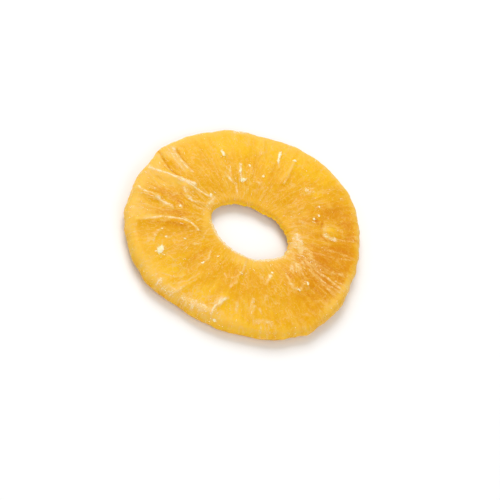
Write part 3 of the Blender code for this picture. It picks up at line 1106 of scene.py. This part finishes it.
@dataclass
class SugarGrains(Crystals):
    """Loose grains of sugar, more of them where the slice is frosted."""

    name: str = "sugar_grains"
    shape: Triple = (1.0, 0.8, 0.7)
    smallest: float = 0.00009
    largest: float = 0.00026
    sunk: float = -0.15
    tilt_deg: float = 180.0
    seed: int = 11
    count: int = 1100
    lowest: float = 0.0006

    def weight(self, bed: bpy.types.Mesh) -> np.ndarray:
        """Return how likely a crystal is at each of the slice's points: by its frost and crust."""
        frost = np.maximum(stored(bed, "frost"), stored(bed, "line"))
        return 0.006 + 0.6 * frost ** 3 + 0.6 * stored(bed, "crust")

    def places(self, bed: bpy.types.Object) -> tuple[np.ndarray, np.ndarray]:
        """Draw points of the slice at random, by their weight and the area round them.

        Args:
            bed: the slice's object, with its values stored.

        Returns:
            Rows of places, and rows of the surface's normals there.
        """
        spots = points_of(bed.data)
        normals = np.empty(spots.size)
        bed.data.vertex_normals.foreach_get("vector", normals)
        weight = self.weight(bed.data) * np.hypot(spots[:, 0], spots[:, 1])
        weight = weight * (spots[:, 2] > self.lowest)
        # Each run lists the slice's points in another order, so they are put in order of place
        by_place = np.lexsort(spots.T)
        draw = np.random.default_rng(self.seed)
        share = weight[by_place] / weight[by_place].sum()
        chosen = by_place[draw.choice(len(spots), size=self.count, replace=False, p=share)]
        return spots[chosen], normals.reshape(-1, 3)[chosen]


@dataclass
class SugarNeedles(SugarGrains):
    """Slivers of sugar that have set along the fibres, so they point away from the hole."""

    name: str = "sugar_needles"
    shape: Triple = (1.0, 0.13, 0.08)
    smallest: float = 0.0003
    largest: float = 0.0012
    sunk: float = 0.01
    tilt_deg: float = 40.0
    seed: int = 23
    count: int = 130
    stray: float = 0.30

    def weight(self, bed: bpy.types.Mesh) -> np.ndarray:
        """Return how likely a sliver is at each of the slice's points: by its strokes."""
        return stored(bed, "strokes") ** 2

    def heading(self, spot: np.ndarray, draw: np.random.Generator) -> float:
        """Return the angle in radians away from the hole, with a little stray."""
        return math.atan2(spot[1], spot[0]) + draw.normal(0.0, self.stray)


@dataclass
class SugarFlakes(Crystals):
    """The flecks: angular flakes of sugar crust that lie flat on the upper face."""

    name: str = "sugar_flakes"
    shape: Triple = (1.0, 0.48, 0.16)
    smallest: float = 0.00022
    largest: float = 0.00110
    sunk: float = 0.03
    tilt_deg: float = 20.0
    seed: int = 5
    drop_from: float = 0.05

    def places(self, bed: bpy.types.Object) -> tuple[np.ndarray, np.ndarray]:
        """Drop each fleck's flakes straight down on the slice.

        Args:
            bed: the slice's object.

        Returns:
            Rows of places, and rows of the surface's normals there.
        """
        draw = np.random.default_rng(self.seed)
        down = Vector((0.0, 0.0, -1.0))
        landed = []
        for fleck in FLECKS:
            for x, y in fleck.scatter(draw):
                hit, spot, normal, _ = bed.ray_cast(Vector((x, y, self.drop_from)), down)
                if hit:
                    landed.append((spot[:], normal[:]))
        spots, normals = zip(*landed)
        return np.array(spots), np.array(normals)


# The mix node's colour sockets, which share their names with its number sockets
MIX_FIRST = 6
MIX_SECOND = 7
MIX_RESULT = 2


class NodeTree:
    """A short way to add and join shader nodes in a material or a group."""

    def __init__(self, tree: bpy.types.NodeTree) -> None:
        """Keep the tree that nodes are added to."""
        self.tree = tree

    def add(self, kind: str, **settings: object) -> bpy.types.Node:
        """Add a node.

        Args:
            kind: the node's type.
            settings: the node's own properties.

        Returns:
            The node.
        """
        node = self.tree.nodes.new(kind)
        for name, value in settings.items():
            setattr(node, name, value)
        return node

    def feed(self, socket: bpy.types.NodeSocket, value: object) -> None:
        """Feed a node's input.

        Args:
            socket: the input.
            value: a socket that is linked to it, or a number or colour.
        """
        if isinstance(value, bpy.types.NodeSocket):
            self.tree.links.new(value, socket)
        else:
            socket.default_value = value

    def fill(self, node: bpy.types.Node, **values: object) -> bpy.types.Node:
        """Feed a node's inputs by their names.

        Args:
            node: the node.
            values: what each input is fed, its name with _ for a space.

        Returns:
            The node.
        """
        for name, value in values.items():
            self.feed(node.inputs[name.replace("_", " ")], value)
        return node

    def place(self) -> bpy.types.NodeSocket:
        """Return where a point is on the piece."""
        return self.add("ShaderNodeTexCoord").outputs["Object"]

    def attribute(self, name: str) -> bpy.types.NodeSocket:
        """Return the value that each point of the mesh keeps under a name."""
        return self.add("ShaderNodeAttribute", attribute_name=name).outputs["Fac"]

    def group(self, tree: bpy.types.ShaderNodeTree, **values: object) -> bpy.types.NodeOutputs:
        """Add a node group with its inputs fed, and return its outputs."""
        return self.fill(self.add("ShaderNodeGroup", node_tree=tree), **values).outputs

    def texture(self, kind: str, **values: object) -> bpy.types.NodeOutputs:
        """Add a texture with its inputs fed, and return its outputs."""
        return self.fill(self.add(f"ShaderNodeTex{kind}"), **values).outputs

    def vector(self, operation: str, *values: object) -> bpy.types.Node:
        """Add a vector sum, product or the like.

        Args:
            operation: what is done.
            values: sockets or fixed vectors.

        Returns:
            The node.
        """
        node = self.add("ShaderNodeVectorMath", operation=operation)
        for socket, value in zip(node.inputs, values):
            self.feed(socket, value)
        return node

    def maths(self, operation: str, *values: object) -> bpy.types.NodeSocket:
        """Add a sum, product or the like.

        Args:
            operation: what is done.
            values: sockets or numbers.

        Returns:
            Its result.
        """
        node = self.add("ShaderNodeMath", operation=operation)
        for socket, value in zip(node.inputs, values):
            self.feed(socket, value)
        return node.outputs["Value"]

    def times(self, first: object, second: object, plus: object = None) -> bpy.types.NodeSocket:
        """Add a product.

        Args:
            first: a socket or number.
            second: a socket or number.
            plus: a socket or number that is added to the product, or nothing.

        Returns:
            Its result.
        """
        if plus is None:
            return self.maths("MULTIPLY", first, second)
        return self.maths("MULTIPLY_ADD", first, second, plus)

    def span(self, value: object, low: float, high: float) -> bpy.types.NodeSocket:
        """Stretch a value so that it eases from 0 to 1 and is held there.

        Args:
            value: a socket or number.
            low: what becomes 0.
            high: what becomes 1.

        Returns:
            The stretched value.
        """
        node = self.add("ShaderNodeMapRange", interpolation_type="SMOOTHSTEP")
        return self.fill(node, Value=value, From_Min=low, From_Max=high).outputs["Result"]

    def blend(self, share: object, first: object, second: object) -> bpy.types.NodeSocket:
        """Mix two colours.

        Args:
            share: how much of the second is used.
            first: a socket or colour.
            second: a socket or colour.

        Returns:
            The mixed colour.
        """
        node = self.fill(self.add("ShaderNodeMix", data_type="RGBA"), Factor=share)
        self.feed(node.inputs[MIX_FIRST], first)
        self.feed(node.inputs[MIX_SECOND], second)
        return node.outputs[MIX_RESULT]


class GroupTree(NodeTree):
    """A new node group of number sockets, with its two ends at hand."""

    def __init__(self, name: str, takes: tuple[str, ...], gives: tuple[str, ...]) -> None:
        """Make the group, its sockets and its two end nodes.

        Args:
            name: the group's name.
            takes: the names of its inputs.
            gives: the names of its outputs.
        """
        super().__init__(bpy.data.node_groups.new(name, "ShaderNodeTree"))
        for way, sockets in (("INPUT", takes), ("OUTPUT", gives)):
            for socket in sockets:
                self.tree.interface.new_socket(socket, in_out=way, socket_type="NodeSocketFloat")
        self.given = self.add("NodeGroupInput").outputs
        self.out = self.add("NodeGroupOutput").inputs


class MaterialTree(NodeTree):
    """A new material, with its tree and its shader at hand."""

    def __init__(self, name: str) -> None:
        """Make the material.

        Args:
            name: the material's name.
        """
        self.material = bpy.data.materials.new(name)
        self.material.use_nodes = True
        super().__init__(self.material.node_tree)
        self.shader = self.tree.nodes["Principled BSDF"]


@cache
def fibre_group() -> bpy.types.ShaderNodeTree:
    """Make the group that draws fibres running out from the middle of the slice.

    Its inputs are the lanes round the slice and the breaks along each. It puts out a soft mask
    of fibres, and a mask of the thin crooked veins between them.

    Returns:
        The group's tree.
    """
    nodes = GroupTree("radial_fibres", ("Lanes", "Breaks"), ("Fibre", "Vein"))
    level = nodes.vector("MULTIPLY", nodes.place(), (1.0, 1.0, 0.0)).outputs["Vector"]
    way = nodes.vector("NORMALIZE", level).outputs["Vector"]
    reach = nodes.vector("LENGTH", level).outputs["Value"]
    lanes = nodes.fill(nodes.vector("SCALE", way), Scale=nodes.given["Lanes"]).outputs["Vector"]
    split = nodes.fill(nodes.add("ShaderNodeSeparateXYZ"), Vector=lanes).outputs
    breaks = nodes.times(reach, nodes.given["Breaks"])
    lane = nodes.fill(nodes.add("ShaderNodeCombineXYZ"), X=split["X"], Y=split["Y"], Z=breaks)
    place = lane.outputs["Vector"]
    fibre = nodes.texture("Noise", Vector=place, Scale=1.0, Detail=3.0, Roughness=0.55)["Fac"]
    nodes.feed(nodes.out["Fibre"], fibre)
    off_middle = nodes.maths("ABSOLUTE", nodes.maths("SUBTRACT", fibre, 0.5))
    nodes.feed(nodes.out["Vein"], nodes.span(off_middle, 0.030, 0.004))
    return nodes.tree


@cache
def mottle_group() -> bpy.types.ShaderNodeTree:
    """Make the group that breaks sugar up into soft clouds and fine crumbs.

    Its inputs are the scale of each; it puts out a mask for each, about one half.

    Returns:
        The group's tree.
    """
    nodes = GroupTree("sugar_mottle", ("Cloud Scale", "Crumb Scale"), ("Cloud", "Crumb"))
    place = nodes.place()
    for kind, detail in (("Cloud", 4.0), ("Crumb", 2.0)):
        scale = nodes.given[f"{kind} Scale"]
        mask = nodes.texture("Noise", Vector=place, Scale=scale, Detail=detail)["Fac"]
        nodes.feed(nodes.out[kind], mask)
    return nodes.tree


@cache
def crackle_group() -> bpy.types.ShaderNodeTree:
    """Make the group that draws the thin crooked lines of sugar that has set in cracks.

    Its input is the scale of the cells between the lines; it puts out a mask.

    Returns:
        The group's tree.
    """
    nodes = GroupTree("sugar_crackle", ("Scale",), ("Line",))
    place = nodes.place()
    scale = nodes.given["Scale"]
    bend = nodes.texture("Noise", Vector=place, Scale=scale, Detail=2.0)["Color"]
    shifted = nodes.vector("MULTIPLY_ADD", bend, (0.0012, 0.0012, 0.0012), place)
    cells = nodes.add("ShaderNodeTexVoronoi", feature="DISTANCE_TO_EDGE")
    nodes.fill(cells, Vector=shifted.outputs["Vector"], Scale=scale)
    nodes.feed(nodes.out["Line"], nodes.span(cells.outputs["Distance"], 0.14, 0.02))
    return nodes.tree


@dataclass(frozen=True)
class CandiedFlesh:
    """Golden, half clear flesh with pale strokes and a broken bloom of sugar on it."""

    deep: Colour = srgb(214, 131, 0)
    golden: Colour = srgb(231, 167, 2)
    light: Colour = srgb(244, 190, 24)
    tissue: Colour = srgb(242, 188, 48)
    clouded: Colour = srgb(243, 194, 78)
    bloom: Colour = srgb(239, 194, 108)
    sugar: Colour = srgb(251, 227, 180)
    # A painted glow of light through the thin wall of the hole
    lit_wall: Colour = srgb(255, 203, 16)
    crust: Colour = srgb(254, 240, 196)
    roughness: float = 0.36
    frosted_roughness: float = 0.75
    gloss: float = 0.12
    scatter: float = 0.50
    scatter_depth: float = 0.0020
    scatter_colour: Triple = (1.0, 0.60, 0.25)
    relief_depth: float = 0.00025

    def make(self) -> bpy.types.Material:
        """Build the material from its nodes.

        Returns:
            The material.
        """
        nodes = MaterialTree("candied_flesh")
        times, span, kept = nodes.times, nodes.span, nodes.attribute
        broad, fibre, stroke = (
            nodes.group(fibre_group(), Lanes=lanes, Breaks=breaks)["Fibre"]
            for lanes, breaks in ((7.0, 75.0), (20.0, 85.0), (40.0, 200.0))
        )
        vein, thread = (
            nodes.group(fibre_group(), Lanes=lanes, Breaks=breaks)["Vein"]
            for lanes, breaks in ((7.5, 180.0), (15.0, 240.0))
        )
        mottle = nodes.group(mottle_group(), Cloud_Scale=260.0, Crumb_Scale=1700.0)
        finer = nodes.group(mottle_group(), Cloud_Scale=900.0, Crumb_Scale=2600.0)
        cloud, crumb, patchy, speck = (*mottle.values(), *finer.values())
        crackle = nodes.group(crackle_group(), Scale=620.0)["Line"]

        # The flesh: tone with painted shade and light, bare tissue, hole wall with painted glow,
        # haze partly painted light
        streaks = times(fibre, 0.50, times(broad, 0.50))
        uneven = times(cloud, 0.28, nodes.maths("ADD", streaks, -0.64))
        tone = times(uneven, -1.0, kept("tone"))
        veil = times(fibre, 0.9, times(cloud, 0.4, -0.65))
        clouded = span(nodes.maths("ADD", kept("haze_and_light"), veil), 0.02, 0.95)
        colour = nodes.blend(span(tone, 0.45, 1.0), self.golden, self.deep)
        layers = [
            (span(tone, 0.50, 0.05), self.light),
            (times(kept("core"), 0.6), self.tissue),
            # Painted glow on the wall of the hole
            (times(kept("wall"), 0.8), self.lit_wall),
            (times(clouded, 0.9), self.clouded),
        ]

        # Pale cracks, veins, marks and specks, fewer where the tone is deep
        strokes = kept("strokes")
        pale = times(span(tone, 0.50, 0.85), -0.65, 1.0)
        cracks = times(times(crackle, span(crumb, 0.45, 0.62)), times(strokes, 0.80, 0.24))
        layers.append((cracks, self.clouded))
        for line, broken_by, least in ((vein, cloud, 0.40), (thread, patchy, 0.30)):
            worn = times(span(broken_by, 0.41, 0.59), times(strokes, 1.0 - least, least))
            layers.append((times(times(line, worn), pale), self.bloom))
        layers.append((times(span(stroke, 0.57, 0.68), times(strokes, pale)), self.bloom))
        layers.append((times(span(speck, 0.64, 0.73), times(strokes, 0.7)), self.bloom))

        # The frost, the drawn lines of sugar and the crust under the flecks
        broken = times(speck, 1.6, times(stroke, 1.8, -1.7))
        frosted = nodes.maths("ADD", kept("frost"), broken)
        frost = span(frosted, 0.30, 0.92)
        ridge = times(broken, 0.5, kept("line"))
        chips = times(crumb, 1.1, -0.55)
        crust = span(nodes.maths("ADD", kept("crust"), chips), 0.42, 0.66)
        layers += [
            (frost, self.bloom),
            (span(frosted, 0.66, 1.08), self.sugar),
            (span(ridge, 0.14, 0.90), self.bloom),
            (span(ridge, 0.70, 1.30), self.sugar),
            (crust, self.crust),
        ]
        for share, over in layers:
            colour = nodes.blend(share, colour, over)

        rough = nodes.add("ShaderNodeMapRange")
        covered = nodes.maths("MAXIMUM", frost, crust)
        nodes.fill(rough, Value=covered, To_Min=self.roughness, To_Max=self.frosted_roughness)
        relief = times(fibre, 0.75, times(crumb, 0.25, times(cloud, 0.7)))
        relief = times(patchy, 0.55, times(cracks, 0.25, relief))
        bump = nodes.add("ShaderNodeBump")
        nodes.fill(bump, Strength=0.4, Distance=self.relief_depth, Height=relief)
        nodes.fill(
            nodes.shader,
            Base_Color=colour,
            Roughness=rough.outputs["Result"],
            Subsurface_Weight=self.scatter,
            Subsurface_Radius=self.scatter_colour,
            Subsurface_Scale=self.scatter_depth,
            Specular_IOR_Level=self.gloss,
            Normal=bump.outputs["Normal"],
        )
        return nodes.material


@dataclass(frozen=True)
class SugarFinish:
    """Small crystals of sugar: off-white, part clear, with a soft glint."""

    white: Colour = srgb(255, 248, 216)
    amber: Colour = srgb(254, 231, 160)
    roughness: float = 0.30
    gloss: float = 0.4

    def make(self) -> bpy.types.Material:
        """Build the material from its nodes.

        Returns:
            The material.
        """
        nodes = MaterialTree("sugar_crystal")
        mottle = nodes.group(mottle_group(), Cloud_Scale=300.0, Crumb_Scale=2600.0)
        colour = nodes.blend(nodes.span(mottle["Crumb"], 0.38, 0.62), self.amber, self.white)
        nodes.fill(nodes.shader, Base_Color=colour)
        nodes.fill(nodes.shader, Roughness=self.roughness, Specular_IOR_Level=self.gloss)
        return nodes.material


@dataclass(frozen=True)
class TableFinish:
    """A plain pale table top with the faintest unevenness."""

    pale: Colour = (0.955, 0.955, 0.95, 1.0)
    paler: Colour = (0.975, 0.975, 0.975, 1.0)
    unevenness: float = 6.0
    roughness: float = 0.7
    gloss: float = 0.2

    def make(self) -> bpy.types.Material:
        """Build the material from its nodes.

        Returns:
            The material.
        """
        nodes = MaterialTree("pale_table")
        share = nodes.texture("Noise", Scale=self.unevenness)["Fac"]
        nodes.fill(nodes.shader, Base_Color=nodes.blend(share, self.pale, self.paler))
        nodes.fill(nodes.shader, Roughness=self.roughness, Specular_IOR_Level=self.gloss)
        return nodes.material


@dataclass(frozen=True)
class SoftLight:
    """A square soft light that faces the slice."""

    name: str
    place: Triple
    power: float
    size: float

    def hang(self) -> None:
        """Hang the light in the scene."""
        lamp = bpy.data.lights.new(self.name, "AREA")
        lamp.energy = self.power
        lamp.size = self.size
        light = bpy.data.objects.new(self.name, lamp)
        light.location = self.place
        light.rotation_euler = Vector(self.place).to_track_quat("Z", "Y").to_euler()
        bpy.context.scene.collection.objects.link(light)


@dataclass
class Studio:
    """The table, the soft light and the camera."""

    table_radius: float = 1.6
    table_corners: int = 96
    table_gap: float = 0.00004
    lights: tuple[SoftLight, ...] = (
        SoftLight("key_light", (-0.26, 0.42, 0.60), 3.85, 0.50),
        SoftLight("fill_light", (0.45, -0.50, 0.50), 2.2, 0.60),
        SoftLight("side_light", (-0.50, -0.35, 0.30), 0.42, 0.50),
    )
    sky_strength: float = 0.47
    aim: Triple = (0.00444, -0.00557, 0.00124)
    distance: float = 0.65
    elevation_deg: float = 55.0
    roll_deg: float = 24.0
    lens: float = 142.27
    clip_start: float = 0.01

    def build(self) -> None:
        """Lay the table, hang the lights and set the camera."""
        self._lay_table()
        for light in self.lights:
            light.hang()
        self._light_sky()
        self._set_camera()
        LOG.info("studio: camera %.0f mm from its aim", self.distance * 1000.0)

    def _lay_table(self) -> None:
        """Lay a wide round table top just under the slice."""
        bpy.ops.object.select_all(action="DESELECT")
        under = (0.0, 0.0, -self.table_gap)
        bpy.ops.mesh.primitive_circle_add(
            vertices=self.table_corners,
            radius=self.table_radius,
            fill_type="NGON",
            location=under,
        )
        table = bpy.context.object
        table.name = "table_top"
        bpy.ops.object.transform_apply(location=True, rotation=True, scale=True)
        table.data.materials.append(TableFinish().make())

    def _light_sky(self) -> None:
        """Fill the scene with even white light."""
        world = bpy.data.worlds.new("white_studio")
        world.use_nodes = True
        background = world.node_tree.nodes["Background"]
        background.inputs["Color"].default_value = (1.0, 1.0, 1.0, 1.0)
        background.inputs["Strength"].default_value = self.sky_strength
        bpy.context.scene.world = world
        bpy.context.scene.view_settings.view_transform = "Standard"

    def _set_camera(self) -> None:
        """Place the camera over the near side of the slice, turned about its own axis."""
        rise = math.radians(self.elevation_deg)
        roll = math.radians(self.roll_deg)
        back = Vector((0.0, -math.cos(rise), math.sin(rise)))
        level = Vector((1.0, 0.0, 0.0))
        upright = back.cross(level)
        right = level * math.cos(roll) + upright * math.sin(roll)
        up = upright * math.cos(roll) - level * math.sin(roll)
        lens = bpy.data.cameras.new("camera")
        lens.lens = self.lens
        lens.clip_start = self.clip_start
        camera = bpy.data.objects.new("camera", lens)
        axes = Matrix((right, up, back)).transposed().to_4x4()
        camera.matrix_world = Matrix.Translation(Vector(self.aim) + back * self.distance) @ axes
        bpy.context.scene.collection.objects.link(camera)
        bpy.context.scene.camera = camera


def main() -> None:
    """Build the slice, its sugar and the studio in order."""
    logging.basicConfig(level=logging.INFO, format="%(name)s: %(message)s")
    bpy.ops.object.select_all(action="DESELECT")
    candied_slice = CandiedSlice()
    candied_slice.build()
    candied_slice.dress(CandiedFlesh())
    for sugar in (SugarGrains(), SugarNeedles(), SugarFlakes()):
        sugar.build(candied_slice)
        sugar.dress(SugarFinish())
    Studio().build()


if __name__ == "__main__":
    main()
